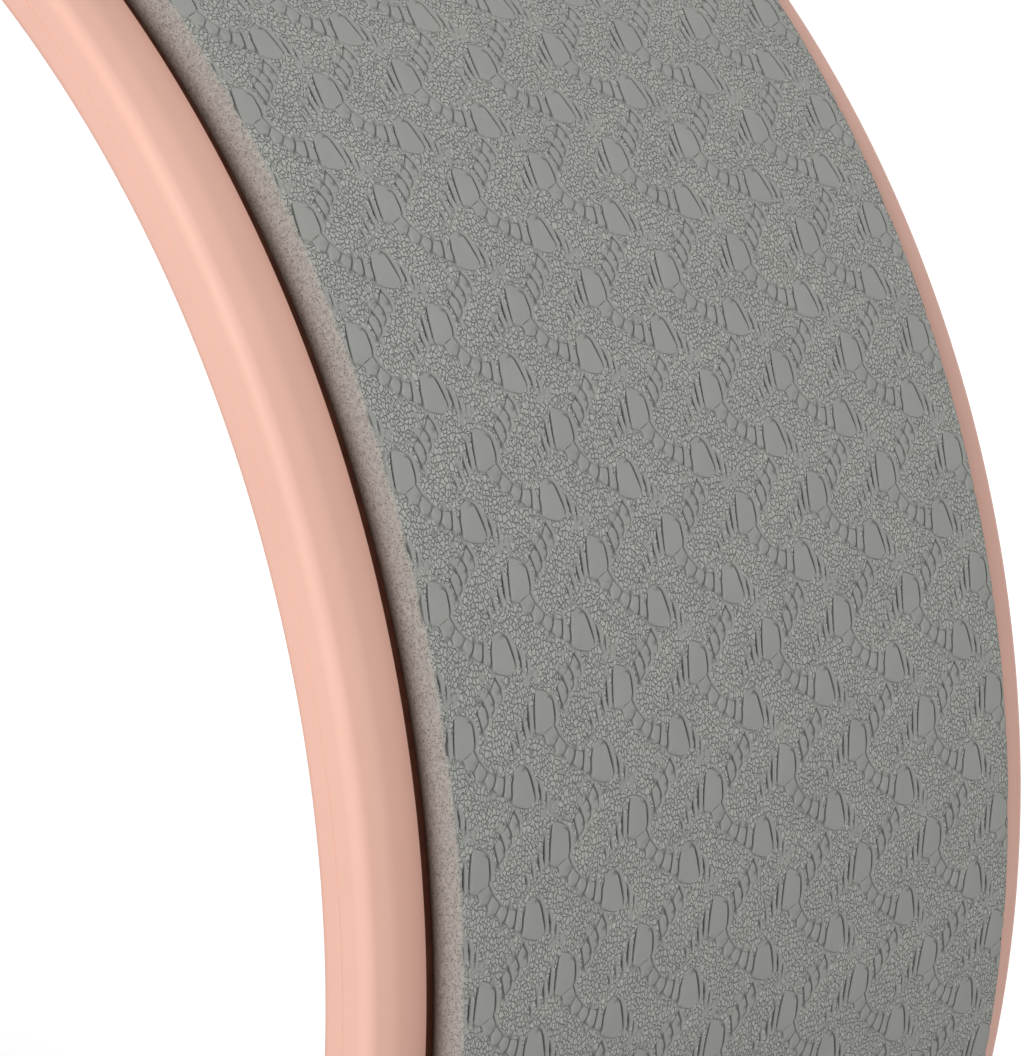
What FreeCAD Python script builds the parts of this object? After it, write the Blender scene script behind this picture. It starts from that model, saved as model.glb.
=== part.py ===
"""Yoga wheel: two flanged plastic rim halves on an inner liner, wrapped in an embossed foam strip.

The axle line is Y, the wheel stands on its tread with +Z up, and the origin is the wheel's centre.
Every piece is a section turned about the axle line. A section's corners are written as radius and
place along the axle, in expressions over the sheet of sizes.
"""
import FreeCAD, Part

import math
import os

import Sketcher

SHEET = "Sizes"

# Driving sizes in millimetres, angles in degrees.
SIZES = {
    "wheel_width": 130.0,
    "bore_radius": 151.5,
    "bore_round": 1.6,
    "liner_wall": 3.8,
    "bond_gap": 0.1,
    "joint_vee": 0.2,
    "rim_wall": 2.8,
    "lap_length": 8.0,
    "lap_gap": 0.1,
    "flange_width": 10.2,
    "flange_rise": 1.8,
    "crest_place": 4.6,
    "crest_round": 10.0,
    "flange_draft": 8.0,
    "lip_draft": 3.0,
    "flange_round": 2.0,
    "lip_round": 0.4,
    "film_thickness": 0.3,
    "pad_thickness": 6.5,
    "pad_gap": 0.8,
    "pad_round": 0.3,
    "seam_gap": 0.4,
    "seam_angle": 150.0,
}

# Sizes that follow from the driving ones, each written once as an expression.
HALF = f"{SHEET}.wheel_width / 2"
LINER_OUTER = f"({SHEET}.bore_radius + {SHEET}.liner_wall)"
RIM_INNER = f"({LINER_OUTER} + {SHEET}.bond_gap)"
LAP_MIDDLE = f"({RIM_INNER} + {SHEET}.rim_wall / 2)"
SEAT = f"({RIM_INNER} + {SHEET}.rim_wall)"
FLANGE_CREST = f"({SEAT} + {SHEET}.flange_rise)"
FLANGE_EDGE = f"({FLANGE_CREST} - {SHEET}.crest_place * tan({SHEET}.flange_draft * 1 deg))"
LIP_RUN = f"({SHEET}.flange_width - {SHEET}.crest_place)"
FLANGE_LIP = f"({FLANGE_CREST} - {LIP_RUN} * tan({SHEET}.lip_draft * 1 deg))"
FLANGE_INSIDE = f"({HALF} - {SHEET}.flange_width)"
FILM_OUTER = f"({SEAT} + {SHEET}.film_thickness)"
TREAD = f"({FILM_OUTER} + {SHEET}.pad_thickness)"
PAD_HALF = f"({FLANGE_INSIDE} - {SHEET}.pad_gap)"
LAP_END = f"{SHEET}.lap_length / 2"


def size_sheet(doc):
    """The sheet that holds every driving size under its own name."""
    sheet = doc.addObject("Spreadsheet::Sheet", SHEET)
    for row, (name, value) in enumerate(SIZES.items(), start=1):
        sheet.set(f"A{row}", name)
        sheet.set(f"B{row}", str(value))
        sheet.setAlias(f"B{row}", name)
    doc.recompute()
    return sheet


def round_at(before, corner, after, radius):
    """Centre and two tangent points of the arc that rounds a convex corner."""
    back = (before - corner).normalize()
    ahead = (after - corner).normalize()
    half_angle = back.getAngle(ahead) / 2
    reach = radius / math.tan(half_angle)
    centre = corner + (back + ahead).normalize() * (radius / math.sin(half_angle))
    return centre, corner + back * reach, corner + ahead * reach


def hold_point(sketch, geometry, place):
    """Fixes the first point of a sketch element to a radius and an axial place from the sheet."""
    for kind, expression in zip(("DistanceX", "DistanceY"), place):
        value = float(sketch.evalExpression(expression))
        index = sketch.addConstraint(Sketcher.Constraint(kind, -1, 1, geometry, 1, value))
        sketch.setExpression(f"Constraints[{index}]", expression)


def section(body, corners):
    """Closed section on the body's XY plane: radius across, axle upwards.

    Each corner is (radius, place, round), given counter-clockwise. A rounded corner keeps its sharp
    point as a construction point that lies on both of its sides.
    """
    plane = next(f for f in body.Origin.OriginFeatures if f.Role == "XY_Plane")
    sketch = body.newObject("Sketcher::SketchObject", body.Label + "_section")
    sketch.AttachmentSupport = (plane, "")
    sketch.MapMode = "FlatFace"
    sharp = [
        FreeCAD.Vector(float(sketch.evalExpression(radius)), float(sketch.evalExpression(place)), 0)
        for radius, place, _ in corners
    ]
    count = len(corners)
    leave = list(sharp)
    arrive = list(sharp)
    arcs = {}
    for i, (_, _, rounding) in enumerate(corners):
        if rounding:
            radius = float(sketch.evalExpression(rounding))
            arcs[i] = round_at(sharp[i - 1], sharp[i], sharp[(i + 1) % count], radius)
            _, arrive[i], leave[i] = arcs[i]
    lines = [
        sketch.addGeometry(Part.LineSegment(leave[i], arrive[(i + 1) % count]), False)
        for i in range(count)
    ]
    for i, (radius, place, rounding) in enumerate(corners):
        before, after = lines[i - 1], lines[i]
        if rounding is None:
            sketch.addConstraint(Sketcher.Constraint("Coincident", before, 2, after, 1))
            hold_point(sketch, after, (radius, place))
            continue
        centre, start, end = arcs[i]
        circle = Part.Circle(centre, FreeCAD.Vector(0, 0, 1), (start - centre).Length)
        turn = Part.ArcOfCircle(circle, circle.parameter(start), circle.parameter(end))
        arc = sketch.addGeometry(turn, False)
        point = sketch.addGeometry(Part.Point(sharp[i]), True)
        sketch.addConstraint(Sketcher.Constraint("Tangent", before, 2, arc, 1))
        sketch.addConstraint(Sketcher.Constraint("Tangent", arc, 2, after, 1))
        sketch.addConstraint(Sketcher.Constraint("PointOnObject", point, 1, before))
        sketch.addConstraint(Sketcher.Constraint("PointOnObject", point, 1, after))
        hold_point(sketch, point, (radius, place))
        index = sketch.addConstraint(Sketcher.Constraint("Radius", arc, circle.Radius))
        sketch.setExpression(f"Constraints[{index}]", rounding)
    return sketch


def turned_piece(doc, label, corners, sweep="360"):
    """A body whose section is turned about the axle line, through the whole circle or short of it."""
    body = doc.addObject("PartDesign::Body", label)
    body.Label = label
    sketch = section(body, corners)
    turned = body.newObject("PartDesign::Revolution", label + "_turned")
    turned.Profile = sketch
    turned.ReferenceAxis = (sketch, ["V_Axis"])
    turned.setExpression("Angle", sweep)
    return body


def inner_liner(doc):
    """Plain sleeve that bridges the two rim halves and gives the wheel its smooth bore."""
    bore = f"{SHEET}.bore_radius"
    bore_round = f"{SHEET}.bore_round"
    vee = f"{SHEET}.joint_vee"
    return turned_piece(doc, "inner_liner", [
        (bore, f"-{HALF}", bore_round),
        (f"{LINER_OUTER} - {vee}", f"-{HALF}", None),
        (LINER_OUTER, f"-{HALF} + {vee}", None),
        (LINER_OUTER, f"{HALF} - {vee}", None),
        (f"{LINER_OUTER} - {vee}", HALF, None),
        (bore, HALF, bore_round),
    ])


def near_rim(doc):
    """Rim half on the -Y side: crowned flange, pad seat and the inner tongue of the lap joint."""
    vee = f"{SHEET}.joint_vee"
    tongue = f"{LAP_MIDDLE} - {SHEET}.lap_gap / 2"
    tongue_end = f"{LAP_END} - {SHEET}.bond_gap"
    return turned_piece(doc, "near_rim", [
        (f"{RIM_INNER} + {vee}", f"-{HALF}", None),
        (FLANGE_EDGE, f"-{HALF}", f"{SHEET}.flange_round"),
        (FLANGE_CREST, f"-{HALF} + {SHEET}.crest_place", f"{SHEET}.crest_round"),
        (FLANGE_LIP, f"-{FLANGE_INSIDE}", f"{SHEET}.lip_round"),
        (SEAT, f"-{FLANGE_INSIDE}", None),
        (SEAT, f"-{LAP_END}", None),
        (tongue, f"-{LAP_END}", None),
        (tongue, tongue_end, None),
        (RIM_INNER, tongue_end, None),
        (RIM_INNER, f"-{HALF} + {vee}", None),
    ])


def far_rim(doc):
    """Rim half on the +Y side: the same flange and seat, with the outer skirt of the lap joint."""
    vee = f"{SHEET}.joint_vee"
    skirt = f"{LAP_MIDDLE} + {SHEET}.lap_gap / 2"
    return turned_piece(doc, "far_rim", [
        (RIM_INNER, LAP_END, None),
        (skirt, LAP_END, None),
        (skirt, f"-{LAP_END}", None),
        (SEAT, f"-{LAP_END}", None),
        (SEAT, FLANGE_INSIDE, None),
        (FLANGE_LIP, FLANGE_INSIDE, f"{SHEET}.lip_round"),
        (FLANGE_CREST, f"{HALF} - {SHEET}.crest_place", f"{SHEET}.crest_round"),
        (FLANGE_EDGE, HALF, f"{SHEET}.flange_round"),
        (f"{RIM_INNER} + {vee}", HALF, None),
        (RIM_INNER, f"{HALF} - {vee}", None),
    ])


def wrapped_strip(doc, label, inner, outer, edge_round=None):
    """A strip wrapped once round the seat, with its two ends a seam's width apart at the tread."""
    sweep = f"360 deg - {SHEET}.seam_gap / {TREAD} * 1 rad"
    body = turned_piece(doc, label, [
        (inner, f"-{PAD_HALF}", None),
        (outer, f"-{PAD_HALF}", edge_round),
        (outer, PAD_HALF, edge_round),
        (inner, PAD_HALF, None),
    ], sweep)
    body.Placement = FreeCAD.Placement(
        FreeCAD.Vector(), FreeCAD.Rotation(FreeCAD.Vector(0, 1, 0), SIZES["seam_angle"])
    )
    body.setExpression("Placement.Rotation.Angle", f"{SHEET}.seam_angle * 1 deg")
    return body


def check_document(doc, pieces):
    """Stops before anything is written if an object failed or a piece has no valid single solid."""
    for item in doc.Objects:
        if "Invalid" in item.State or "Error" in item.State:
            raise RuntimeError(f"{item.Label} failed: {item.State}")
    for piece in pieces:
        shape = piece.Shape
        if shape.isNull() or not shape.isValid() or len(shape.Solids) != 1:
            raise RuntimeError(f"{piece.Label} is not one valid solid")


def main():
    """Builds the document, checks it and writes one file for each piece."""
    doc = FreeCAD.newDocument("yoga_wheel")
    size_sheet(doc)
    pieces = [
        inner_liner(doc),
        near_rim(doc),
        far_rim(doc),
        wrapped_strip(doc, "pad_adhesive", SEAT, FILM_OUTER),
        wrapped_strip(doc, "foam_pad", FILM_OUTER, TREAD, f"{SHEET}.pad_round"),
    ]
    doc.recompute()
    check_document(doc, pieces)
    os.makedirs("parts", exist_ok=True)
    for piece in pieces:
        piece.Shape.exportStep(os.path.join("parts", piece.Label + ".step"))
        box = piece.Shape.optimalBoundingBox()
        print(piece.Label, f"{piece.Shape.Volume:.0f} mm3, {box.XLength:.2f} x {box.YLength:.2f} mm")


main()
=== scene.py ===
import math

import bpy
import numpy as np
from mathutils import Matrix, Vector
from mathutils.geometry import delaunay_2d_cdt


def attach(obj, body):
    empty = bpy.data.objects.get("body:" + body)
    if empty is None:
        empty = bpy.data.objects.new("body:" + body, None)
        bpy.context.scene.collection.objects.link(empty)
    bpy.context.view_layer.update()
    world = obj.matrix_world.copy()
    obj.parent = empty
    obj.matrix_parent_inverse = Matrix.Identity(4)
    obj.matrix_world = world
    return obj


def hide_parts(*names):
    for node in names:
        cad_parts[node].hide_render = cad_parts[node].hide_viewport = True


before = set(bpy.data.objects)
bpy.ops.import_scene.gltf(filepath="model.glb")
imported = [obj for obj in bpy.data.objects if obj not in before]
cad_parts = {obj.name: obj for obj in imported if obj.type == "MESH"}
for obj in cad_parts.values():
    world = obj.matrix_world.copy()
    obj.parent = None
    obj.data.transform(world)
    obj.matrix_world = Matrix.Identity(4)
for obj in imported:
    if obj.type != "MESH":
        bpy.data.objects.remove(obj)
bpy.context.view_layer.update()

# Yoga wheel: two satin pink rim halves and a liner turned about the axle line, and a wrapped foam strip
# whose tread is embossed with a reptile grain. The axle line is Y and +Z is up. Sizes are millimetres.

MM = 0.001
RANDOM = np.random.default_rng(7)


def places_of(mesh):
    """The points of a mesh, in millimetres."""
    places = np.empty(3 * len(mesh.vertices), np.float32)
    mesh.vertices.foreach_get("co", places)
    return places.reshape(-1, 3).astype(float) / MM


def corners_of(mesh):
    """The point at each corner of a mesh's faces."""
    corner = np.empty(len(mesh.loops), np.int32)
    mesh.loops.foreach_get("vertex_index", corner)
    return corner


def ring_of(node):
    """Least and greatest radius about the axle line, and reach along it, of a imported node."""
    x, y, z = places_of(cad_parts[node].data).T
    radius = np.hypot(x, z)
    return [round(float(size), 3) for size in (radius.min(), radius.max(), np.abs(y).max())]


BORE, LINER_OUTER, HALF_WIDTH = ring_of("inner_liner")
SEAT, FILM_OUTER, _ = ring_of("pad_adhesive")
_, TREAD, PAD_HALF = ring_of("foam_pad")

BORE_ROUND = 1.6
JOINT_VEE = 0.08
JOINT_GAP = 0.02
FLANGE_WIDTH = 10.2
FLANGE_RISE = 1.8
FLANGE_DRAFT = math.radians(8.0)
FLANGE_ROUND = 2.0
CREST_PLACE = 4.6
CREST_ROUND = 10.0
LIP_DRAFT = math.radians(3.0)
LIP_ROUND = 0.2
LAP_LENGTH = 8.0
LAP_GAP = 0.1
SEAM_GAP = 0.4
SEAM_DIRECTION = math.radians(210.0)
PAD_ROUND = 0.3
# The cut edge leans in under the tread, by the undercut where its tuck is 1. The tuck sways round the wheel,
# and the painted shade at the cut's foot follows it.
PAD_UNDERCUT = 1.4
TUCK_MEAN = 0.97
TUCK_SWAY = 0.075
TUCK_WAVES = 3
TUCK_TURN = math.radians(15.0)

FLANGE_INSIDE = HALF_WIDTH - FLANGE_WIDTH
CREST = SEAT + FLANGE_RISE
FLANGE_EDGE = CREST - CREST_PLACE * math.tan(FLANGE_DRAFT)
FLANGE_LIP = CREST - (FLANGE_WIDTH - CREST_PLACE) * math.tan(LIP_DRAFT)
RIM_INNER = LINER_OUTER + JOINT_GAP
LAP_MIDDLE = (RIM_INNER + SEAT) / 2
# Facets round a turned piece, and the least angle between faces that shows as a sharp edge.
AROUND = 720
RIM_SHARP = math.radians(35.0)
STRIP_SHARP = math.radians(40.0)


# Materials

def nodes_of(tree):
    """A maker of nodes in a tree. Inputs are values or other nodes' sockets, the rest are settings."""
    def node(kind, inputs=None, **settings):
        made = tree.nodes.new("ShaderNode" + kind)
        for key, value in settings.items():
            setattr(made, key, value)
        for key, value in (inputs or {}).items():
            if isinstance(value, bpy.types.NodeSocket):
                tree.links.new(value, made.inputs[key])
            else:
                made.inputs[key].default_value = value
        return made

    return node


def finish_of(name):
    """A new node material with its node maker, its shader and its linker."""
    material = bpy.data.materials.new(name)
    material.use_nodes = True
    tree = material.node_tree
    return material, nodes_of(tree), tree.nodes["Principled BSDF"], tree.links.new


def ramp(node, value, low, high, spread=(0.3, 0.7)):
    """Colour that goes from low to high as a value crosses the spread."""
    made = node("ValToRGB", {"Fac": value})
    for element, place, colour in zip(made.color_ramp.elements, spread, (low, high)):
        element.position = place
        element.color = (*colour, 1)
    return made.outputs["Color"]


def satin_plastic():
    """Pink moulded plastic: faint clouding, a fine moulded grain and a satin gloss that varies a little."""
    material, node, shader, link = finish_of("satin_pink_plastic")
    place = node("TexCoord").outputs["Object"]
    cloud = node("TexNoise", {"Vector": place, "Scale": 45.0, "Detail": 3.0}).outputs["Fac"]
    link(ramp(node, cloud, (0.865, 0.508, 0.410), (0.900, 0.534, 0.432)), shader.inputs["Base Color"])
    grain = node("TexNoise", {"Vector": place, "Scale": 2600.0, "Detail": 2.0}).outputs["Fac"]
    gloss = node("MapRange", {"Value": grain, "To Min": 0.44, "To Max": 0.54})
    link(gloss.outputs["Result"], shader.inputs["Roughness"])
    bump = node("Bump", {"Height": grain, "Strength": 0.35, "Distance": 0.00003})
    link(bump.outputs["Normal"], shader.inputs["Normal"])
    shader.inputs["Specular IOR Level"].default_value = 0.2
    return material


def foam_skin():
    """Grey moulded foam skin: pebbles between the plates, a fine grain on all of it and darker grooves.

    The pebbles are the cells of a stirred Voronoi pattern, drawn out a little round the wheel. Painted shade
    darkens them toward their edges and darkens the grooves with their depth, and smooth lands take a plainer
    tone.
    """
    material, node, shader, link = finish_of("grey_foam_skin")
    place = node("UVMap", uv_map="tread").outputs["UV"]
    pebbled = node("Attribute", attribute_name="pebbled").outputs["Fac"]
    groove = node("Attribute", attribute_name="groove").outputs["Fac"]
    stir = node("TexNoise", {"Vector": place, "Scale": 1.3, "Detail": 1.0}, noise_dimensions="2D")
    shift = node("VectorMath", {0: stir.outputs["Color"], "Scale": 0.7}, operation="SCALE")
    stirred = node("VectorMath", {0: place, 1: shift.outputs["Vector"]}, operation="ADD")
    drawn = node("VectorMath", {0: stirred.outputs["Vector"], 1: (1.8, 1.35, 1.0)}, operation="MULTIPLY")
    cells = node("TexVoronoi", {"Vector": drawn.outputs["Vector"], "Scale": 1.0},
                 voronoi_dimensions="2D", feature="DISTANCE_TO_EDGE")
    pebble = node("MapRange", {"Value": cells.outputs["Distance"], "From Max": 0.19},
                  interpolation_type="SMOOTHSTEP")
    relief = node("MapRange", {"Value": pebbled, "To Min": 1.0, "To Max": pebble.outputs["Result"]})
    grain = node("TexNoise", {"Vector": place, "Scale": 7.0, "Detail": 3.0}, noise_dimensions="2D")
    fine = node("Bump", {"Height": grain.outputs["Fac"], "Strength": 0.5, "Distance": 0.00003})
    bump = node("Bump", {"Height": relief.outputs["Result"], "Strength": 1.0, "Distance": 0.00014,
                         "Normal": fine.outputs["Normal"]})
    link(bump.outputs["Normal"], shader.inputs["Normal"])
    cloud = node("TexNoise", {"Vector": place, "Scale": 0.12, "Detail": 4.0}, noise_dimensions="2D")
    tint = ramp(node, cloud.outputs["Fac"], (0.415, 0.422, 0.395), (0.443, 0.450, 0.418))
    # Painted shade: the grooves' colour darkens with their depth, to 0.3 of the tint at full depth.
    painted_groove_shade = node("MapRange", {"Value": groove, "From Min": 0.1, "To Min": 1.0, "To Max": 0.3})
    # Painted shade in the creases between pebbles; pebble tops go to 1.08 of the tint and smooth lands take
    # 0.815 of it.
    crease = node("MapRange", {"Value": cells.outputs["Distance"], "From Max": 0.11, "To Min": 0.3,
                               "To Max": 1.08})
    crease_shade_and_land_tone = node("MapRange", {"Value": pebbled, "To Min": 0.815, "To Max": crease.outputs["Result"]})
    shade = node("Math", {0: painted_groove_shade.outputs["Result"], 1: crease_shade_and_land_tone.outputs["Result"]},
                 operation="MULTIPLY")
    colour = node("VectorMath", {0: tint, "Scale": shade.outputs["Value"]}, operation="SCALE")
    link(colour.outputs["Vector"], shader.inputs["Base Color"])
    rough = node("MapRange", {"Value": pebbled, "To Min": 0.55, "To Max": 0.7})
    link(rough.outputs["Result"], shader.inputs["Roughness"])
    shader.inputs["Specular IOR Level"].default_value = 0.25
    return material


def cut_foam():
    """Beige cut edge of the foam: a dense speckle of open pores darkened with painted shade, and painted
    shade that browns and darkens the cut toward its tucked-in foot.
    """
    material, node, shader, link = finish_of("beige_cut_foam")
    place = node("TexCoord").outputs["Object"]
    pores = node("TexVoronoi", {"Vector": place, "Scale": 4000.0})
    size = node("SeparateColor", {"Color": pores.outputs["Color"]})
    reach = node("MapRange", {"Value": size.outputs["Red"], "From Min": 0.1, "To Min": 0.15, "To Max": 0.8})
    open_pore = node("MapRange", {"Value": pores.outputs["Distance"], "From Max": reach.outputs["Result"]},
                     interpolation_type="SMOOTHSTEP")
    cloud = node("TexNoise", {"Vector": place, "Scale": 1500.0, "Detail": 4.0}).outputs["Fac"]
    tint = ramp(node, cloud, (0.315, 0.296, 0.270), (0.442, 0.420, 0.389))
    # Painted shade inside the open pores.
    pore_painted_shade = node("MapRange", {"Value": open_pore.outputs["Result"], "To Min": 0.3, "To Max": 1.0})
    tucked = node("Attribute", attribute_name="tucked").outputs["Fac"]
    # Painted shade at the foot of the cut, in the gap by the flange, stronger where the cut is tucked in
    # further.
    foot = node("MapRange", {"Value": tucked, "From Min": 0.2, "From Max": 0.98},
                interpolation_type="SMOOTHSTEP")
    foot_painted_shade = ramp(node, foot.outputs["Result"], (1, 1, 1), (0.27, 0.175, 0.14), (0, 1))
    tint_in_foot_shade = node("VectorMath", {0: tint, 1: foot_painted_shade}, operation="MULTIPLY")
    colour = node("VectorMath", {0: tint_in_foot_shade.outputs["Vector"], "Scale": pore_painted_shade.outputs["Result"]},
                  operation="SCALE")
    link(colour.outputs["Vector"], shader.inputs["Base Color"])
    bump = node("Bump", {"Height": open_pore.outputs["Result"], "Strength": 0.5, "Distance": 0.0001})
    link(bump.outputs["Normal"], shader.inputs["Normal"])
    rough = node("MapRange", {"Value": cloud, "To Min": 0.8, "To Max": 0.95})
    link(rough.outputs["Result"], shader.inputs["Roughness"])
    shader.inputs["Specular IOR Level"].default_value = 0.2
    return material


def tape_in_painted_gap_shade():
    """Transfer tape coloured a dark reddish brown that paints the shade of the gap between flange and cut
    edge: cloudy adhesive with a slight gloss.
    """
    material, node, shader, link = finish_of("tape_in_painted_gap_shade")
    place = node("TexCoord").outputs["Object"]
    cloud = node("TexNoise", {"Vector": place, "Scale": 400.0, "Detail": 4.0}).outputs["Fac"]
    # The tape's dark reddish brown is painted shade of the gap beside the flange.
    link(ramp(node, cloud, (0.17, 0.056, 0.032), (0.25, 0.088, 0.052)), shader.inputs["Base Color"])
    rough = node("MapRange", {"Value": cloud, "To Min": 0.35, "To Max": 0.6})
    link(rough.outputs["Result"], shader.inputs["Roughness"])
    return material


# Meshes

def new_piece(name, places, faces, materials):
    """A piece from points in millimetres and arrays of faces, each array with its own count of corners."""
    mesh = bpy.data.meshes.new(name)
    totals = np.concatenate([np.full(len(part), part.shape[1]) for part in faces])
    corners = np.concatenate([part.ravel() for part in faces])
    mesh.vertices.add(len(places))
    mesh.vertices.foreach_set("co", (places * MM).astype(np.float32).ravel())
    mesh.loops.add(len(corners))
    mesh.loops.foreach_set("vertex_index", corners.astype(np.int32))
    mesh.polygons.add(len(totals))
    mesh.polygons.foreach_set("loop_start", (np.cumsum(totals) - totals).astype(np.int32))
    mesh.polygons.foreach_set("use_smooth", np.ones(len(totals), bool))
    mesh.update(calc_edges=True)
    for material in materials:
        mesh.materials.append(material)
    piece = bpy.data.objects.new(name, mesh)
    bpy.context.scene.collection.objects.link(piece)
    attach(piece, "root")
    return piece


def rounded_section(corners, steps=10):
    """Closed section with its corners rounded. Each corner is (radius, place along the axle, round).

    With unit vectors to its two neighbours and half the angle between them, the arc's centre lies the
    round over the sine of that half angle along their sum, and its points turn evenly about the centre
    from one tangent point to the other.
    """
    points = np.array([corner[:2] for corner in corners], float)
    pieces = []
    for i, (_, _, size) in enumerate(corners):
        if not size:
            pieces.append(points[i:i + 1])
            continue
        back = points[i - 1] - points[i]
        ahead = points[(i + 1) % len(points)] - points[i]
        back /= np.linalg.norm(back)
        ahead /= np.linalg.norm(ahead)
        half = np.arccos(back @ ahead) / 2
        middle = (back + ahead) / np.linalg.norm(back + ahead)
        centre = points[i] + middle * size / np.sin(half)
        start = points[i] + back * size / np.tan(half) - centre
        end = points[i] + ahead * size / np.tan(half) - centre
        sweep = np.pi - 2 * half
        part = np.linspace(0, sweep, steps)[:, None]
        pieces.append(centre + (np.sin(sweep - part) * start + np.sin(part) * end) / np.sin(sweep))
    return np.concatenate(pieces)


def turned(name, corners, material):
    """Section carried round the axle line: a point (r, y) at angle a goes to (r cos a, y, r sin a)."""
    section = rounded_section(corners)
    angle = np.arange(AROUND) * 2 * np.pi / AROUND
    radius, along = section.T
    x = radius[:, None] * np.cos(angle)
    z = radius[:, None] * np.sin(angle)
    y = np.broadcast_to(along[:, None], x.shape)
    places = np.stack([x, y, z], -1).reshape(-1, 3)
    index = np.arange(len(section) * AROUND).reshape(len(section), AROUND)
    ahead = np.roll(index, -1, 0)
    quads = np.stack([index, ahead, np.roll(ahead, -1, 1), np.roll(index, -1, 1)], -1).reshape(-1, 4)
    piece = new_piece(name, places, [quads], [material])
    piece.data.set_sharp_from_angle(angle=RIM_SHARP)
    return piece


def inner_liner(plastic):
    """Plain sleeve with rounded bore edges and a fine vee where it meets the rim halves."""
    piece = turned("liner_sleeve", [
        (BORE, -HALF_WIDTH, BORE_ROUND),
        (LINER_OUTER - JOINT_VEE, -HALF_WIDTH, 0),
        (LINER_OUTER, -HALF_WIDTH + JOINT_VEE, 0),
        (LINER_OUTER, HALF_WIDTH - JOINT_VEE, 0),
        (LINER_OUTER - JOINT_VEE, HALF_WIDTH, 0),
        (BORE, HALF_WIDTH, BORE_ROUND),
    ], plastic)
    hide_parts("inner_liner")


def rim_halves(plastic):
    """The two rim halves: crowned flange, pad seat and the halves of the lap joint."""
    end = LAP_LENGTH / 2
    near = turned("near_rim_half", [
        (RIM_INNER + JOINT_VEE, -HALF_WIDTH, 0),
        (FLANGE_EDGE, -HALF_WIDTH, FLANGE_ROUND),
        (CREST, -HALF_WIDTH + CREST_PLACE, CREST_ROUND),
        (FLANGE_LIP, -FLANGE_INSIDE, LIP_ROUND),
        (SEAT, -FLANGE_INSIDE, 0),
        (SEAT, -end, 0),
        (LAP_MIDDLE - LAP_GAP / 2, -end, 0),
        (LAP_MIDDLE - LAP_GAP / 2, end - LAP_GAP, 0),
        (RIM_INNER, end - LAP_GAP, 0),
        (RIM_INNER, -HALF_WIDTH + JOINT_VEE, 0),
    ], plastic)
    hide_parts("near_rim")
    far = turned("far_rim_half", [
        (RIM_INNER, end, 0),
        (LAP_MIDDLE + LAP_GAP / 2, end, 0),
        (LAP_MIDDLE + LAP_GAP / 2, -end, 0),
        (SEAT, -end, 0),
        (SEAT, FLANGE_INSIDE, 0),
        (FLANGE_LIP, FLANGE_INSIDE, LIP_ROUND),
        (CREST, HALF_WIDTH - CREST_PLACE, CREST_ROUND),
        (FLANGE_EDGE, HALF_WIDTH, FLANGE_ROUND),
        (RIM_INNER + JOINT_VEE, HALF_WIDTH, 0),
        (RIM_INNER, HALF_WIDTH - JOINT_VEE, 0),
    ], plastic)
    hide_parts("far_rim")


# Embossed tread. One cell of the grain is drawn in its own millimetres, x along the axle and y round the
# wheel, and repeats over a lattice whose two steps are given as (round the wheel, along the axle).

CELL_SIZE = (14.55, 16.5)
STEP_ALONG = (-0.665, 14.55)
STEP_ROUND = (16.497, 0.251)

# Closed outlines of the two raised plates.
PLATES = [
    [(0.40, 9.3), (0.62, 7.5), (1.35, 6.0), (2.55, 5.42), (3.45, 5.75), (3.98, 7.1), (4.3, 8.8), (4.5, 10.2),
     (3.75, 10.95), (2.75, 10.98), (1.65, 10.56), (0.62, 10.15)],
    [(6.0, 18.2), (6.1, 17.0), (6.42, 15.4), (6.95, 13.95), (7.6, 13.62), (8.5, 13.95), (9.5, 14.55),
     (9.85, 15.4), (9.82, 17.3), (9.5, 18.45), (8.4, 18.9), (7.2, 19.25), (6.3, 18.95)],
]
# A chain is a string of beads: where each cut between beads starts and ends, how far each bead bulges, which
# cuts are its own and how deep its grooves are as a share of the full depth.
CHAINS = [
    {"starts": [(9.5, 2.1), (10.1, 3.45), (11.4, 4.95), (12.7, 5.85), (14.1, 6.3), (15.0, 6.7)],
     "ends": [(7.25, 2.9), (8.9, 4.5), (10.35, 6.0), (11.8, 7.3), (13.5, 8.45), (14.95, 9.3)],
     "bulges": [(7.75, 3.9), (9.15, 5.6), (11.1, 6.95), (12.65, 8.25), (14.25, 9.15)],
     "cuts": slice(1, -1), "share": 1.0},
    {"starts": [(10.95, 14.1), (12.3, 13.2), (13.75, 12.2), (15.0, 10.75)],
     "ends": [(11.4, 16.75), (12.85, 15.15), (14.25, 13.75), (15.8, 12.45)],
     "bulges": [(12.35, 16.2), (13.75, 15.1), (15.6, 13.75)],
     "cuts": slice(None), "share": 0.95},
]
# Slits that stand beside the plates like strokes.
SLITS = [
    [(5.4, 15.0), (5.05, 16.4), (4.95, 17.8), (5.1, 18.6)],
    [(4.1, 16.7), (3.85, 17.7), (4.15, 19.1)],
    [(2.7, 18.0), (2.65, 18.8), (2.85, 19.6)],
    [(1.42, 19.0), (1.65, 20.3)],
    [(5.3, 8.1), (5.35, 9.3), (5.45, 10.7)],
    [(6.5, 9.7), (6.4, 10.4), (6.3, 11.2)],
]
# Fine creases that join plates and chains.
CREASES = [
    [(-0.1, 5.28), (1.0, 5.02), (2.0, 4.75), (3.0, 4.0), (4.2, 3.15)],
    [(7.3, 12.7), (8.4, 13.25), (9.4, 13.45), (10.5, 13.4)],
    [(15.8, 12.45), (17.2, 12.25), (17.65, 11.4)],
    [(13.3, 9.95), (13.75, 9.55), (14.35, 9.4)],
]
# A pip is a low round: its centre and its radius.
PIPS = [((7.7, 11.75), 0.6), ((12.4, 12.3), 0.5), ((5.6, 12.3), 0.45)]
PIP_POINTS = 8
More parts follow.
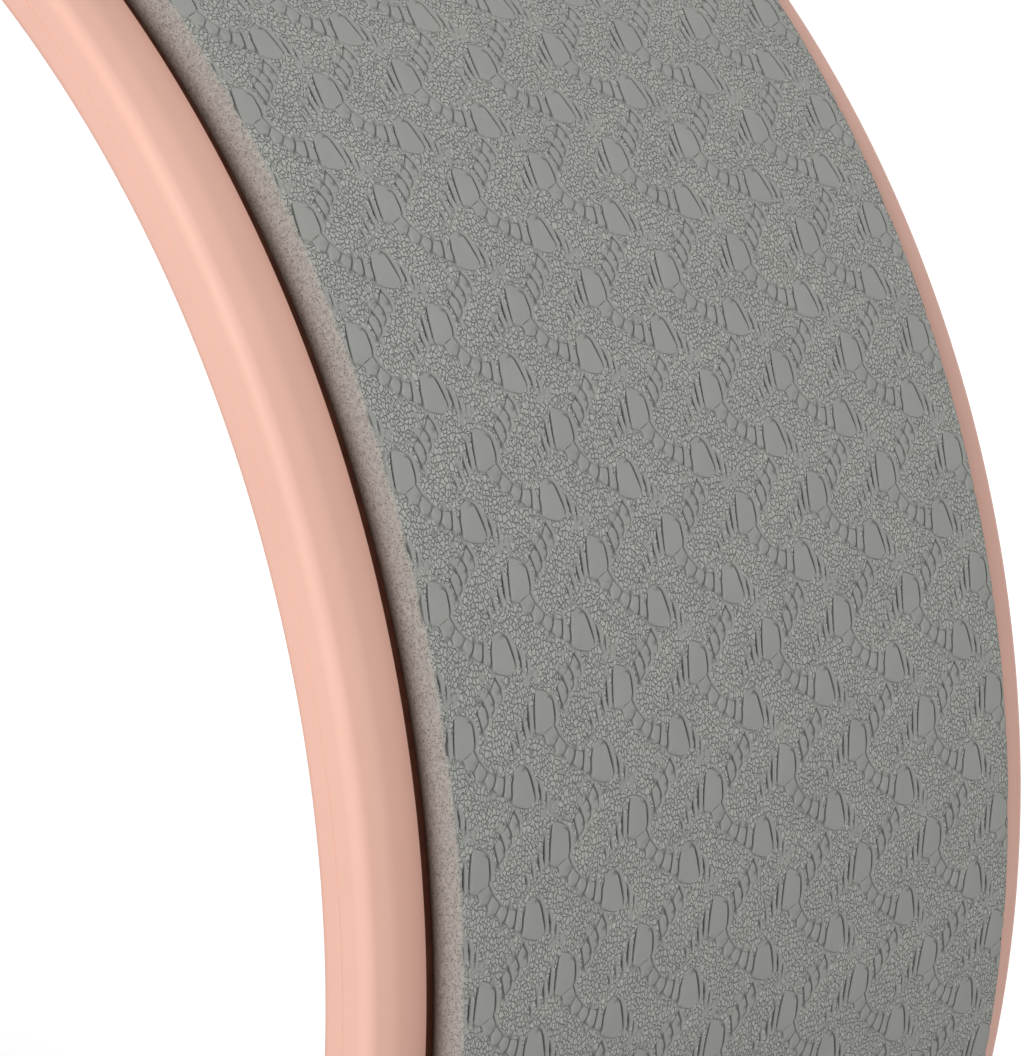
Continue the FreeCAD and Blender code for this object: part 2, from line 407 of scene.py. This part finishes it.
# A groove's section: a steep near wall, a floor, a back wall up to a low shoulder and a long shallow rise.
# A groove that runs along the axle is a plain vee instead. The two mix by the share of a groove's run that
# lies round the wheel: a vee up to the start of the turn, the whole section past its span.
GROOVE_DEPTH = 0.26
GROOVE_WALL = 0.08
GROOVE_FLOOR = 0.3
GROOVE_BACK = 0.14
GROOVE_SHOULDER = 0.2
GROOVE_RISE = 0.9
VEE_HALF = 0.11
VEE_DEPTH = 0.14
TURN_FROM = 0.5
TURN_SPAN = 0.42
# Size of each kind of groove as a share of that section.
PLATE_GROOVE = 1.05
CUT_GROOVE = 0.9
SLIT_GROOVE = 1.2
BEAD_GROOVE = 0.75
CREASE_GROOVE = 0.58
# A tapered groove starts at a share of its size and is whole a taper's length in. An open end fades out over
# its own length, to a least share, and a closed outline loses up to a share of its size in its corners.
GROOVE_TAPER = 0.9
TAPER_START = 0.4
END_FADE = 0.3
END_LEAST = 0.01
CORNER_FADE = 0.5
# Places along a groove, and between grooves with their unevenness and their clearance to a groove.
GROOVE_SPACING = 0.6
FIELD_SPACING = 1.3
FIELD_UNEVEN = 0.2
FIELD_CLEARANCE = 0.5
POINT_UNEVEN = 0.003
POINT_GAP = 0.07
# Another groove hides a point that lies this far above it. Heights under the flat limit count as level, and
# pebbles stop where a groove is deeper than a share of the full depth.
HIDDEN_HEIGHT = 0.015
FLAT_HEIGHT = 0.004
PEBBLE_DEPTH = 0.1
# Share of the run between a point's two neighbours that its tangent takes: the less, the tighter a corner.
SLACK = 0.28
CURVE_STEPS = 12
TINY = 1e-6
FAR_AWAY = 99.0
# Points this near to a trimmed edge move onto it, and points on it this near to each other become one.
HAIR = 0.04
# Rows of points down the quarter round and the cut of the strip's edge.
ROUND_ROWS = 3
CUT_ROWS = 8


def smooth_line(points, closed=False):
    """Cubic curve through the points, resampled at even steps of its length.

    Each stretch is the Hermite cubic between two points, and a point's tangent is a share of the run
    between its two neighbours.
    """
    points = np.array(points, float)
    if closed:
        held = np.concatenate([points[-1:], points, points[:2]])
    else:
        held = np.concatenate([2 * points[:1] - points[1:2], points, 2 * points[-1:] - points[-2:-1]])
    tangent = SLACK * (held[2:] - held[:-2])
    start, end = held[1:-2, None], held[2:-1, None]
    leave, arrive = tangent[:-1, None], tangent[1:, None]
    t = np.linspace(0, 1, CURVE_STEPS, endpoint=False)[None, :, None]
    curve = (2 * t**3 - 3 * t**2 + 1) * start + (t**3 - 2 * t**2 + t) * leave
    curve = curve + (3 * t**2 - 2 * t**3) * end + (t**3 - t**2) * arrive
    curve = np.concatenate([curve.reshape(-1, 2), held[-2:-1]])
    length = np.concatenate([[0], np.cumsum(np.hypot(*np.diff(curve, axis=0).T))])
    count = max(2, round(length[-1] / GROOVE_SPACING)) + 1
    even = np.linspace(0, length[-1], count)
    return np.stack([np.interp(even, length, curve[:, k]) for k in range(2)], 1)


def circle(centre, radius):
    """Even points round a centre, at a radius from it."""
    angle = np.arange(PIP_POINTS) * 2 * np.pi / PIP_POINTS
    return np.stack([centre[0] + radius * np.cos(angle), centre[1] + radius * np.sin(angle)], 1)


def on_tread(cell_points):
    """Places on the unrolled tread (round the wheel, along the axle) of points drawn in the cell.

    A point's share of the cell's height times the step round, plus its share of the width times the step
    along.
    """
    x, y = np.array(cell_points, float).T
    return np.outer(y / CELL_SIZE[1], STEP_ROUND) + np.outer(x / CELL_SIZE[0], STEP_ALONG)


def groove_lines():
    """Every groove of the cell as (places, size at each place).

    A tapered groove's size grows evenly with the length from its nearer end. A closed outline's falls with
    its bend, the change of heading from one stretch to the next, or half those on either side if more.
    """
    lines = []

    def add(points, size, closed=False, taper=False):
        line = on_tread(smooth_line(points, closed))
        sizes = np.full(len(line), size)
        if taper:
            run = np.concatenate([[0], np.cumsum(np.hypot(*np.diff(line, axis=0).T))])
            ends = np.minimum(run, run[-1] - run) / GROOVE_TAPER
            sizes *= TAPER_START + (1 - TAPER_START) * np.minimum(1, ends)
        if closed:
            run = np.diff(line, axis=0)
            heading = np.arctan2(run[:, 1], run[:, 0])
            bend = np.abs((heading - np.roll(heading, 1) + np.pi) % (2 * np.pi) - np.pi)
            bend = np.maximum(bend, (np.roll(bend, 1) + np.roll(bend, -1)) / 2)
            sizes *= 1 - CORNER_FADE * np.minimum(1, np.append(bend, bend[0]))
        lines.append((line, sizes))

    for plate in PLATES:
        add(plate, PLATE_GROOVE, closed=True)
    for chain in CHAINS:
        share = chain["share"]
        for cut in list(zip(chain["starts"], chain["ends"]))[chain["cuts"]]:
            add(cut, CUT_GROOVE * share)
        for start, bulge, end in zip(chain["ends"], chain["bulges"], chain["ends"][1:]):
            add([start, bulge, end], BEAD_GROOVE * share)
        add(chain["starts"], BEAD_GROOVE * share)
    for slit in SLITS:
        add(slit, SLIT_GROOVE, taper=True)
    for crease in CREASES:
        add(crease, CREASE_GROOVE, taper=True)
    for centre, radius in PIPS:
        add(circle(centre, radius), CREASE_GROOVE, closed=True)
    return lines


def smooth_lands():
    """Outlines of everything in the cell that has no pebbles: plates, beads and pips."""
    outlines = [np.array(plate) for plate in PLATES]
    for chain in CHAINS:
        starts, ends = chain["starts"], chain["ends"]
        for i, bulge in enumerate(chain["bulges"]):
            outlines.append(np.array([starts[i], starts[i + 1], ends[i + 1], bulge, ends[i]]))
    outlines += [circle(centre, radius) for centre, radius in PIPS]
    return [on_tread(outline) for outline in outlines]


def facing(run):
    """How far a groove runs round the wheel, 0 to 1, and the direction across it to its far side.

    The first is the share of its run that lies round the wheel, spread over the turn and held to 0 and 1.
    """
    length = np.linalg.norm(run, axis=-1)
    turn = np.clip((np.abs(run[..., 0]) / length - TURN_FROM) / TURN_SPAN, 0, 1)
    across = np.stack([-run[..., 1], run[..., 0]], -1)
    return turn, across * (np.where(run[..., 0] < 0, -1, 1) / length)[..., None]


def section_places(turn, size):
    """Places across a groove of a size, from the near brow to the end of its rise, and its depth.

    A vee's and the full section's places and depths are mixed by how far the groove runs round the wheel.
    """
    full = np.array([-GROOVE_WALL, 0, GROOVE_FLOOR, GROOVE_FLOOR + GROOVE_BACK, GROOVE_RISE])
    vee = np.array([-VEE_HALF, 0, 0, VEE_HALF, VEE_HALF])
    turn, size = turn[..., None], size[..., None]
    places = vee + turn * (full * np.where(full < 0, 1, size) - vee)
    depth = (VEE_DEPTH + turn * (GROOVE_DEPTH - VEE_DEPTH)) * size
    return places, depth


def section_height(reach, turn, size):
    """Height of a groove's section at a signed distance from the foot of its near wall.

    Both walls are straight, and past the shoulder the height goes with the square of what is left of the
    rise.
    """
    places, depth = section_places(turn, size)
    brow, _, toe, shoulder, end = np.moveaxis(places, -1, 0)
    low = GROOVE_SHOULDER * turn
    near = np.clip(1 - reach / brow, 0, 1)
    back = 1 - (1 - low) * np.clip((reach - toe) / np.maximum(shoulder - toe, TINY), 0, 1)
    rise = low * np.clip((end - reach) / np.maximum(end - shoulder, TINY), 0, 1)**2
    far = np.where(reach < shoulder, back, rise)
    return -depth[..., 0] * np.where(reach < 0, near, far)


NEIGHBOURS = np.array([(i, j) for i in (-1, 0, 1) for j in (-1, 0, 1)])
STEPS = np.array([STEP_ROUND, STEP_ALONG])
INTO_STEPS = np.linalg.inv(STEPS)


def tread_height(points, lines):
    """Height of the tread at each point, and the distance to the nearest groove.

    Each groove counts with its nearest straight stretch, in this cell and its eight neighbours, and the
    lowest section wins. Past an open end the section fades.
    """
    height = np.zeros(len(points))
    nearest = np.full(len(points), FAR_AWAY)
    rows = np.arange(len(points))
    for line, size in lines:
        count = len(line) - 1
        first = np.repeat(np.arange(count), len(NEIGHBOURS))
        a = (line[:-1, None] + NEIGHBOURS @ STEPS).reshape(-1, 2)
        run = np.diff(line, axis=0)[first]
        along = ((points[:, None] - a) * run).sum(-1) / (run**2).sum(-1)
        share = np.clip(along, 0, 1)
        away = points[:, None] - a - share[..., None] * run
        distance = np.linalg.norm(away, axis=-1)
        near = distance.argmin(1)
        stretch, run, away, distance = first[near], run[near], away[rows, near], distance[rows, near]
        along, share = along[rows, near], share[rows, near]
        turn, across = facing(run)
        reach = np.where((away * across).sum(1) < 0, -distance, distance)
        sizes = size[stretch] * (1 - share) + size[stretch + 1] * share
        if not np.allclose(line[0], line[-1]):
            past = np.where(stretch == 0, -along, 0) + np.where(stretch == count - 1, along - 1, 0)
            past = np.maximum(past, 0) * np.linalg.norm(run, axis=1)
            sizes = sizes * np.clip(1 - past / END_FADE, END_LEAST, 1)
        height = np.minimum(height, section_height(reach, turn, sizes))
        nearest = np.minimum(nearest, distance)
    return height, nearest


def groove_rows(line, size):
    """Five rows of points across a groove, each (round, along, height of its own section)."""
    run = np.gradient(line, axis=0)
    if np.allclose(line[0], line[-1]):
        run[0] = run[-1] = line[1] - line[-2]
    turn, across = facing(run)
    rows = []
    for reach in section_places(turn, size)[0].T[[1, 0, 2, 3, 4]]:
        rows.append(np.column_stack([line + reach[:, None] * across, section_height(reach, turn, size)]))
    return np.stack(rows)


def inside(points, outline):
    """Which points lie inside an outline in this cell or its neighbours: an odd count of crossed sides."""
    moved = (points[:, None] - NEIGHBOURS @ STEPS)[:, :, None, :]
    a, b = outline, np.roll(outline, -1, 0)
    spans = (a[:, 1] > moved[..., 1]) != (b[:, 1] > moved[..., 1])
    rise = b[:, 1] - a[:, 1]
    rise = np.where(rise == 0, 1, rise)
    cross = a[:, 0] + (moved[..., 1] - a[:, 1]) / rise * (b[:, 0] - a[:, 0])
    return ((spans & (moved[..., 0] < cross)).sum(-1) % 2 == 1).any(1)


def without_doubles(points, least):
    """Points with those dropped that lie closer than the least gap to an earlier one, over the lattice."""
    share = points @ INTO_STEPS
    apart = share[:, None] - share[None]
    apart = (apart - np.round(apart)) @ STEPS
    close = np.linalg.norm(apart, axis=-1) < least
    return points[~np.tril(close, -1).any(1)]


def emboss_cell():
    """One cell of the grain: points (round, along, height), triangles between cells, pebbled triangles.

    Points lie in five rows across every groove, where no other groove is lower, and in staggered rows over
    the rest. Their triangles are the Delaunay ones of nine cells, of which those centred in the middle cell
    are kept. Each triangle's corner is (point, cell step round, cell step along).
    """
    lines = groove_lines()
    rows = np.concatenate([groove_rows(*line) for line in lines], 1).reshape(-1, 3)
    rows = rows[rows[:, 2] - tread_height(rows[:, :2], lines)[0] < HIDDEN_HEIGHT, :2]
    counts = np.ceil(np.linalg.norm(STEPS, axis=1) / FIELD_SPACING).astype(int)
    i, j = np.meshgrid(*(np.arange(n) for n in counts), indexing="ij")
    field = np.stack([(i + 0.5 * (j % 2)) / counts[0], j / counts[1]], -1).reshape(-1, 2) @ STEPS
    field += RANDOM.uniform(-FIELD_UNEVEN, FIELD_UNEVEN, field.shape)
    field = field[tread_height(field, lines)[1] > FIELD_CLEARANCE]
    points = without_doubles(np.concatenate([rows, field]), POINT_GAP)
    points += RANDOM.uniform(-POINT_UNEVEN, POINT_UNEVEN, points.shape)
    points = (points @ INTO_STEPS % 1) @ STEPS
    height = tread_height(points, lines)[0]
    height[height > -FLAT_HEIGHT] = 0

    nine = (points[None] + (NEIGHBOURS @ STEPS)[:, None]).reshape(-1, 2)
    result = delaunay_2d_cdt([Vector(place) for place in nine], [], [], 0, TINY)
    origin = np.array([first[0] for first in result[3]])
    triangles = origin[np.array(result[2])]
    middle = nine[triangles].mean(1)
    own = (np.floor(middle @ INTO_STEPS) == 0).all(1)
    triangles, middle = triangles[own], middle[own]
    cell, point = np.divmod(triangles, len(points))
    corners = np.concatenate([point[..., None], NEIGHBOURS[cell]], -1)
    smooth = np.any([inside(middle, outline) for outline in smooth_lands()], axis=0)
    grooved = height[corners[..., 0]].min(1) < -PEBBLE_DEPTH * GROOVE_DEPTH
    return np.column_stack([points, height]), corners, ~(smooth | grooved)


def spread_cells(points, corners, pebbled, low, high):
    """The cell repeated over the lattice until it covers the box from low to high."""
    box = np.array([(u, v) for u in (low[0], high[0]) for v in (low[1], high[1])])
    span = box @ INTO_STEPS
    first = np.floor(span.min(0)).astype(int) - 1
    count = np.ceil(span.max(0)).astype(int) + 1 - first
    i, j = np.meshgrid(np.arange(count[0]), np.arange(count[1]), indexing="ij")
    cells = np.stack([i, j], -1).reshape(-1, 2)
    wide = count + 2
    stand = corners[None, :, :, 1:] + cells[:, None, None] + 1
    number = (stand[..., 0] * wide[1] + stand[..., 1]) * len(points) + corners[None, :, :, 0]
    used, triangles = np.unique(number.reshape(-1, 3), return_inverse=True)
    cell, point = np.divmod(used, len(points))
    step = np.stack(np.divmod(cell, wide[1]), 1) - 1 + first
    sheet = points[point]
    sheet[:, :2] += step @ STEPS
    return sheet, triangles.reshape(-1, 3), np.tile(pebbled, len(cells))


def trimmed(sheet, triangles, pebbled, axis, limit, keep):
    """The sheet cut along a straight line, with keep +1 for the side below the limit and -1 for above.

    Points nearer than a hair to the line move onto it. A triangle that crosses it is divided where its
    sides meet the line. Points on the line a hair apart become one, and triangles flat on it are dropped.
    """
    sheet = sheet.copy()
    sheet[np.abs(sheet[:, axis] - limit) < HAIR, axis] = limit
    beyond = keep * (sheet[:, axis] - limit) > 0
    count = beyond[triangles].sum(1)

    def odd_first(some, odd):
        start = odd[some].argmax(1)[:, None]
        return np.take_along_axis(some, (start + np.arange(3)) % 3, 1)

    tip_out = odd_first(triangles[count == 1], beyond)
    tip_in = odd_first(triangles[count == 2], ~beyond)
    sides = np.concatenate([tip_out[:, [0, 1]], tip_out[:, [0, 2]], tip_in[:, [0, 1]], tip_in[:, [0, 2]]])
    pairs, number = np.unique(np.sort(sides, 1), axis=0, return_inverse=True)
    a, b = sheet[pairs[:, 0]], sheet[pairs[:, 1]]
    share = (limit - a[:, axis]) / (b[:, axis] - a[:, axis])
    cut = a + share[:, None] * (b - a)
    cut[:, axis] = limit
    ends = np.cumsum([len(tip_out), len(tip_out), len(tip_in)])
    out_b, out_c, in_b, in_c = np.split(number.ravel() + len(sheet), ends)
    triangles = np.concatenate([
        triangles[count == 0],
        np.stack([out_b, tip_out[:, 1], tip_out[:, 2]], 1),
        np.stack([out_b, tip_out[:, 2], out_c], 1),
        np.stack([tip_in[:, 0], in_b, in_c], 1),
    ])
    pebbled = np.concatenate([pebbled[count == some] for some in (0, 1, 1, 2)])
    sheet = np.concatenate([sheet, cut])
    on_line = sheet[:, axis] == limit
    held = np.flatnonzero(on_line)
    held = held[np.argsort(sheet[held, 1 - axis])]
    first = np.concatenate([[True], np.diff(sheet[held, 1 - axis]) > HAIR])
    group = np.cumsum(first) - 1
    chosen = held[first]
    chosen[-1] = held[-1]
    merged = np.arange(len(sheet))
    merged[held] = chosen[group]
    triangles = merged[triangles]
    whole = (triangles != triangles[:, [1, 2, 0]]).all(1) & ~on_line[triangles].all(1)
    used, triangles = np.unique(triangles[whole], return_inverse=True)
    return sheet[used], triangles.reshape(-1, 3), pebbled[whole]


def edge_rows():
    """Rows down the strip's edge: outward, below the tread, share of the emboss's height, way down the cut.

    The first rows follow the quarter round, by its sine and one less its cosine, and the rest the cut.
    """
    turn = np.radians(np.linspace(0, 90, ROUND_ROWS + 1)[1:])
    level = np.zeros(CUT_ROWS)
    way = np.append(np.zeros(ROUND_ROWS), np.arange(1, CUT_ROWS + 1) / CUT_ROWS)
    out = np.append(PAD_ROUND * np.sin(turn), level + PAD_ROUND)
    down = np.append(PAD_ROUND * (1 - np.cos(turn)), level + PAD_ROUND)
    down += (TREAD - FILM_OUTER - PAD_ROUND) * way
    return np.stack([out, down, np.append(np.cos(turn), level), way], 1)


def tuck(u, way):
    """How far the cut is tucked in at u round the tread: its way down times a mean with waves on it."""
    return way * (TUCK_MEAN + TUCK_SWAY * np.sin(TUCK_WAVES * (TUCK_TURN + u / TREAD)))


def wrapped(u, v, radius):
    """Place on the wheel of a point u round the tread and v along the axle, at a radius.

    With the angle a = -u over the tread's radius, it is (radius cos a, v, radius sin a).
    """
    angle = -u / TREAD
    return np.stack([radius * np.cos(angle), v, radius * np.sin(angle)], -1)


def strip_edge(sheet, side, way, count):
    """One edge of the strip, on the side that way is the sign of: (places, chart, tucks, walls, rows).

    Each row of points lies outward of the trimmed tread and below it, and leans in by the undercut times
    the cube of its tuck. Its place on the chart runs on down the cut. The walls are the four-sided faces
    between one row and the next. New points are numbered from the count.
    """
    u, v, height = sheet.T
    edge = np.flatnonzero(v == way * side)
    edge = edge[np.argsort(u[edge])]
    u, height = u[edge], height[edge]
    out, down, share, way_down = edge_rows().T[..., None]
    tucks = tuck(u, way_down)
    across = way * (side + out - PAD_UNDERCUT * tucks**3)
    places = wrapped(u, across, TREAD - down + share * height)
    chart = np.stack(np.broadcast_arrays(way * (side + out + down), u), -1)
    rows = np.concatenate([edge[None], count + np.arange(tucks.size).reshape(tucks.shape)])
    upper, lower = rows[:-1], rows[1:]
    walls = np.stack([lower[:, :-1], upper[:, :-1], upper[:, 1:], lower[:, 1:]], -1).reshape(-1, 4)
    walls = walls if way > 0 else walls[:, ::-1]
    return places.reshape(-1, 3), chart.reshape(-1, 2), tucks.ravel(), walls, rows


def strip_underside(near, far, place_near, place_far):
    """Triangles between the two lowest rows, each to the next point of either row round the wheel."""
    order = np.argsort(np.concatenate([place_near[1:], place_far[1:]]), kind="stable")
    is_near = order < len(near) - 1
    i = np.cumsum(is_near) - is_near
    j = np.cumsum(~is_near) - ~is_near
    next_near = near[np.minimum(i + 1, len(near) - 1)]
    next_far = far[np.minimum(j + 1, len(far) - 1)]
    return np.stack([near[i], far[j], np.where(is_near, next_near, next_far)], 1)


def strip_ends(sheet, near_rows, far_rows, limits):
    """The two end faces: down the near edge, up the far edge and back across the tread."""
    u, v, _ = sheet.T
    faces = []
    for limit, end in zip(limits, (0, -1)):
        top = np.flatnonzero(u == limit)
        top = top[np.argsort(v[top])]
        loop = np.concatenate([near_rows[1:, end], far_rows[:0:-1, end], top[::-1]])[None]
        faces.append(loop if end else loop[:, ::-1])
    return faces


# The chart for baking: blocks in each of its rows and columns, and the margin round each block.
BLOCKS_ACROSS = 3
BLOCK_MARGIN = 2.5


def baking_chart(mesh, chart, first, length, outside):
    """Flat chart of the whole strip, as one point in the unit square for each corner of its faces.

    The unrolled strip is divided round the wheel into blocks that stand in rows and columns, and each of
    the outside faces goes with the block that holds its middle. Above the blocks lie the underside, pressed
    narrow, and the two end faces, by their places along the axle and their radii.
    """
    corner = corners_of(mesh)
    totals = np.empty(len(mesh.polygons), np.int32)
    mesh.polygons.foreach_get("loop_total", totals)
    face = np.repeat(np.arange(len(totals)), totals)
    end_face = face - (len(totals) - 2)
    x, y, z = places_of(mesh)[corner].T
    across, along = chart[corner].T
    along = along - first
    blocks = BLOCKS_ACROSS**2
    step = length / blocks
    middle = np.add.reduceat(along, np.cumsum(totals) - totals) / totals
    block = np.clip(middle // step, 0, blocks - 1)[face]
    column, row = np.divmod(block, BLOCKS_ACROSS)
    size = max(step, 2 * np.abs(across).max()) + 2 * BLOCK_MARGIN
    top = BLOCKS_ACROSS * size
    flat = np.stack([(column + 0.5) * size + across, row * size + BLOCK_MARGIN + along - block * step], 1)
    under = np.stack([along / length * top, top + BLOCK_MARGIN * (0.5 + y / HALF_WIDTH / 2)], 1)
    ends = np.stack([(end_face + 0.5) * size + y, top + 2 * BLOCK_MARGIN + np.hypot(x, z) - FILM_OUTER], 1)
    flat = np.where((face >= outside)[:, None], under, flat)
    flat = np.where((end_face >= 0)[:, None], ends, flat)
    return flat / (top + 3 * BLOCK_MARGIN + TREAD - FILM_OUTER)


def foam_pad(skin, cut):
    """Foam strip wrapped once round the seat, its tread embossed and its edges cut.

    The tread is the cell spread over the unrolled strip and trimmed to it, each point at the tread's
    radius plus its height. The edges carry the trimmed tread down the cut to the film, and the underside
    and the two ends close the strip.
    """
    first = -TREAD * SEAM_DIRECTION
    last = first + 2 * np.pi * TREAD - SEAM_GAP
    side = PAD_HALF - PAD_ROUND
    tread = spread_cells(*emboss_cell(), (first, -side), (last, side))
    for axis, limit, keep in ((0, first, -1), (0, last, 1), (1, -side, -1), (1, side, 1)):
        tread = trimmed(*tread, axis, limit, keep)
    sheet, triangles, pebbled = tread
    u, v, height = sheet.T
    near = strip_edge(sheet, side, -1, len(sheet))
    far = strip_edge(sheet, side, 1, len(sheet) + len(near[0]))
    edge_places, edge_charts, edge_tucks, walls, (near_rows, far_rows) = zip(near, far)
    places = np.concatenate([wrapped(u, v, TREAD + height), *edge_places])
    chart = np.concatenate([np.stack([v, u], 1), *edge_charts])
    under = strip_underside(near_rows[-1], far_rows[-1], u[near_rows[0]], u[far_rows[0]])
    faces = [triangles, *walls, under, *strip_ends(sheet, near_rows, far_rows, (first, last))]
    piece = new_piece("embossed_foam_strip", places, faces, [skin, cut])
    mesh = piece.data
    is_tread = np.arange(len(mesh.polygons)) < len(triangles)
    mesh.polygons.foreach_set("material_index", np.where(is_tread, 0, 1).astype(np.int32))
    mesh.set_sharp_from_angle(angle=STRIP_SHARP)
    outside = len(triangles) + sum(len(wall) for wall in walls)
    charts = {"tread": chart[corners_of(mesh)],
              "OFBake": baking_chart(mesh, chart, first, last - first, outside)}
    for name, flat in charts.items():
        mesh.uv_layers.new(name=name).uv.foreach_set("vector", flat.astype(np.float32).ravel())
    pebbles = np.zeros(len(mesh.polygons))
    pebbles[:len(triangles)] = pebbled
    depth = np.zeros(len(places))
    depth[:len(sheet)] = -height / GROOVE_DEPTH
    tucked = np.concatenate([np.zeros(len(sheet)), *edge_tucks])
    # The groove depth and the tuck also set the painted shade of the grooves and of the cut's foot.
    marks = {"pebbled": ("FACE", pebbles), "groove": ("POINT", depth), "tucked": ("POINT", tucked)}
    for name, (domain, values) in marks.items():
        mark = mesh.attributes.new(name, "FLOAT", domain)
        mark.data.foreach_set("value", values.astype(np.float32))
    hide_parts("foam_pad")


# Stage

def seen_directly(node):
    """One for camera, glossy and transmission rays, and zero for the rays that carry light."""
    path = node("LightPath").outputs
    seen = node("Math", {0: path["Is Camera Ray"], 1: path["Is Glossy Ray"]}, operation="MAXIMUM")
    seen = node("Math", {0: seen.outputs[0], 1: path["Is Transmission Ray"]}, operation="MAXIMUM")
    return seen.outputs[0]


FLOOR_HALF = 6000.0


def studio_floor():
    """Pale floor under the tread: it takes the shadow, and a share of white shows to the camera."""
    mesh = bpy.data.meshes.new("floor")
    corners = [(x * FLOOR_HALF, y * FLOOR_HALF) for x, y in ((-1, -1), (1, -1), (1, 1), (-1, 1))]
    mesh.from_pydata([(x * MM, y * MM, -TREAD * MM) for x, y in corners], [], [(0, 1, 2, 3)])
    floor = bpy.data.objects.new("floor", mesh)
    bpy.context.scene.collection.objects.link(floor)
    material, node, shader, link = finish_of("pale_floor")
    shader.inputs["Base Color"].default_value = (0.82, 0.82, 0.82, 1)
    shader.inputs["Roughness"].default_value = 0.9
    shader.inputs["Specular IOR Level"].default_value = 0.0
    shader.inputs["Emission Color"].default_value = (1, 1, 1, 1)
    away = node("VectorMath", {0: node("TexCoord").outputs["Object"]}, operation="LENGTH")
    share = node("MapRange", {"Value": away.outputs["Value"], "From Min": 0.25, "From Max": 0.8,
                              "To Min": 0.6, "To Max": 0.9}, interpolation_type="SMOOTHSTEP")
    glow = node("Math", {0: seen_directly(node), 1: share.outputs["Result"]}, operation="MULTIPLY")
    link(glow.outputs[0], shader.inputs["Emission Strength"])
    mesh.materials.append(material)


SURROUNDINGS = 0.26
# Each lamp: the direction to it, its distance and breadth in metres, and how bright it makes a white face
# that is turned to it.
LAMPS = {
    "key": ((0.33, -0.83, 0.44), 1.5, 0.6, 0.55),
    "side": ((0.75, 0.1, 0.65), 1.5, 1.2, 0.155),
    "back": ((0.12, 0.97, 0.2), 1.5, 1.0, 0.1),
}


def studio_light():
    """White surroundings, a broad key on the near side, a side lamp above the tread and a faint back lamp.

    A disc of breadth b at distance d that makes a white face as bright as w gives
    w pi^2 (d^2 + b^2 / 4) watts.
    """
    world = bpy.data.worlds.new("studio")
    bpy.context.scene.world = world
    world.use_nodes = True
    tree = world.node_tree
    tree.nodes.clear()
    node = nodes_of(tree)
    light = node("Background", {"Color": (1, 1, 1, 1), "Strength": SURROUNDINGS})
    white = node("Background", {"Color": (1, 1, 1, 1), "Strength": 1.0})
    mix = node("MixShader", {0: seen_directly(node), 1: light.outputs[0], 2: white.outputs[0]})
    node("OutputWorld", {"Surface": mix.outputs[0]})
    for name, (direction, distance, breadth, brightness) in LAMPS.items():
        lamp = bpy.data.lights.new(name, "AREA")
        lamp.shape = "DISK"
        lamp.size = breadth
        lamp.energy = brightness * math.pi**2 * (distance**2 + breadth**2 / 4)
        holder = bpy.data.objects.new(name, lamp)
        toward = Vector(direction).normalized()
        holder.location = toward * distance
        holder.rotation_euler = toward.to_track_quat("Z", "Y").to_euler()
        bpy.context.scene.collection.objects.link(holder)


# Camera of the photograph, found from the traced rim and pad edges: 1024 by 1056 pixels.
IMAGE_LONG_SIDE = 1056
FOCAL_PIXELS = 5389.14
CAMERA_DISTANCE = 800.0
CAMERA_AZIMUTH = 0.7447416
CAMERA_ELEVATION = 0.1960358
CAMERA_ROLL = -0.0044446
CAMERA_RIGHT = 90.7286
CAMERA_UP = 26.9280


def photograph_camera():
    """Camera at the photograph's place: back from the wheel's centre, then right and up in its own plane."""
    lens = bpy.data.cameras.new("camera")
    lens.sensor_width = 36.0
    lens.lens = FOCAL_PIXELS * lens.sensor_width / IMAGE_LONG_SIDE
    lens.clip_start = 0.01
    camera = bpy.data.objects.new("camera", lens)
    bpy.context.scene.collection.objects.link(camera)
    az, el = CAMERA_AZIMUTH, CAMERA_ELEVATION
    back = Vector((math.sin(az) * math.cos(el), -math.cos(az) * math.cos(el), math.sin(el)))
    level = Vector((0, 0, 1)).cross(back).normalized()
    rise = back.cross(level)
    right = math.cos(CAMERA_ROLL) * level + math.sin(CAMERA_ROLL) * rise
    up = back.cross(right)
    place = (back * CAMERA_DISTANCE + right * CAMERA_RIGHT + up * CAMERA_UP) * MM
    camera.matrix_world = Matrix.Translation(place) @ Matrix((right, up, back)).transposed().to_4x4()
    bpy.context.scene.camera = camera


plastic = satin_plastic()
inner_liner(plastic)
rim_halves(plastic)
foam_pad(foam_skin(), cut_foam())
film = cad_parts["pad_adhesive"]
film.data.materials.clear()
film.data.materials.append(tape_in_painted_gap_shade())
studio_floor()
studio_light()
photograph_camera()
bpy.context.scene.view_settings.view_transform = "Standard"
